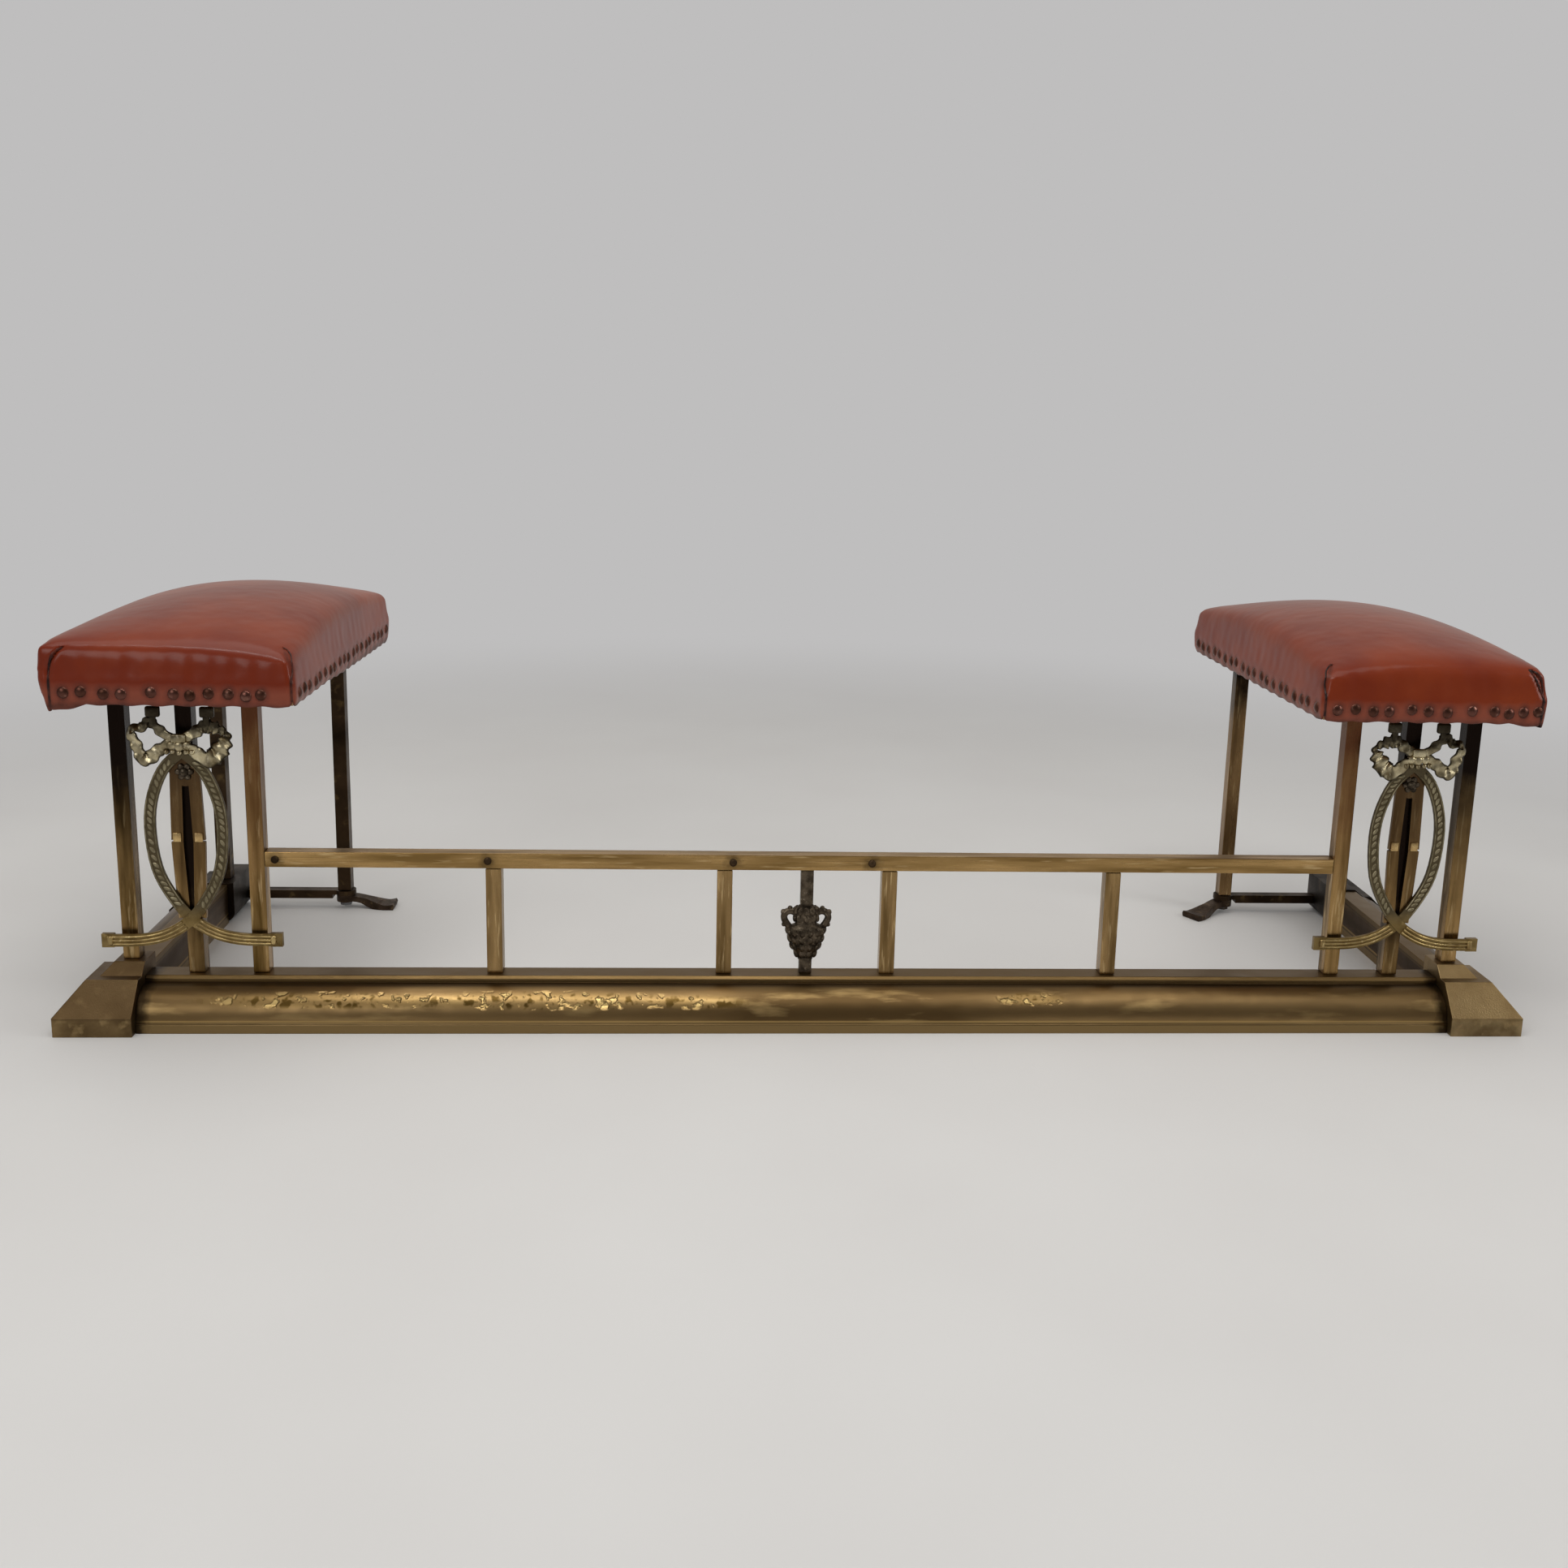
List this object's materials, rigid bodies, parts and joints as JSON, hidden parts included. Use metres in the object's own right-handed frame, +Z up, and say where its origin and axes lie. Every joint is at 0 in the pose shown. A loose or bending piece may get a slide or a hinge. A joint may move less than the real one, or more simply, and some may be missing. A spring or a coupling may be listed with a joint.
{
  "type": "fire fender",
  "caption": "Brass fire fender: moulded kerb, slim rail with an urn, and padded leather seats on square posts with bow-and-ribbon ornaments.",
  "frame": {"origin": "middle of the whole fender's box, on the floor", "axes": "+X along the kerb to the viewer's right, +Y back towards the fire, +Z up"},
  "size_m": [1.6, 0.457, 0.456],
  "materials": {
    "aged_brass": "aged",
    "pale_brass": "dull",
    "browned_brass": "browned",
    "dark_casting": "matt",
    "steel": "dull",
    "leather": "semi-gloss",
    "beech": "plain"
  },
  "bodies": {
    "frame": {"front_kerb": "aged_brass", "front_clamp_bar": "steel", "mid_rail": "aged_brass", "rail_screw_1": "steel", "rail_screw_2": "steel", "rail_screw_3": "steel", "rail_screw_4": "steel", "baluster_1": "aged_brass", "baluster_2": "aged_brass", "baluster_3": "aged_brass", "baluster_4": "aged_brass", "urn_lower_stem": "dark_casting", "urn": "dark_casting", "urn_upper_stem": "dark_casting", "left_return_kerb": "aged_brass", "left_corner_block": "aged_brass", "left_rear_block": "browned_brass", "left_front_outer_post": "aged_brass", "left_front_centre_post": "aged_brass", "left_front_inner_post": "aged_brass", "left_rear_outer_post": "browned_brass", "left_rear_inner_post": "browned_brass", "left_front_outer_rod": "steel", "left_front_inner_rod": "steel", "left_rear_outer_rod": "steel", "left_rear_inner_rod": "steel", "left_rear_bar": "browned_brass", "left_foot_nut": "steel", "left_strap_pair": "aged_brass", "left_ornament_boss": "aged_brass", "left_rear_band": "pale_brass", "left_front_band": "pale_brass", "left_bow": "pale_brass", "left_seat_board": "beech", "left_seat_cushion": "leather", "right_return_kerb": "aged_brass", "right_corner_block": "aged_brass", "right_rear_block": "browned_brass", "right_front_outer_post": "aged_brass", "right_front_centre_post": "aged_brass", "right_front_inner_post": "aged_brass", "right_rear_outer_post": "browned_brass", "right_rear_inner_post": "browned_brass", "right_front_outer_rod": "steel", "right_front_inner_rod": "steel", "right_rear_outer_rod": "steel", "right_rear_inner_rod": "steel", "right_rear_bar": "browned_brass", "right_foot_nut": "steel", "right_strap_pair": "aged_brass", "right_ornament_boss": "aged_brass", "right_rear_band": "pale_brass", "right_front_band": "pale_brass", "right_bow": "pale_brass", "right_seat_board": "beech", "right_seat_cushion": "leather"},
    "left_foot": {"left_rear_foot": "dark_casting"},
    "right_foot": {"right_rear_foot": "dark_casting"}
  },
  "joints": [
    {"name": "left_foot_swivel", "type": "hinge", "parent": "frame", "child": "left_foot", "pos_m": [-0.5925, 0.2115, 0.0142], "axis": [0, 0, 1], "range_deg": [-60, 60]},
    {"name": "right_foot_swivel", "type": "hinge", "parent": "frame", "child": "right_foot", "pos_m": [0.5925, 0.2115, 0.0142], "axis": [0, 0, 1], "range_deg": [-92, 28]}
  ]
}
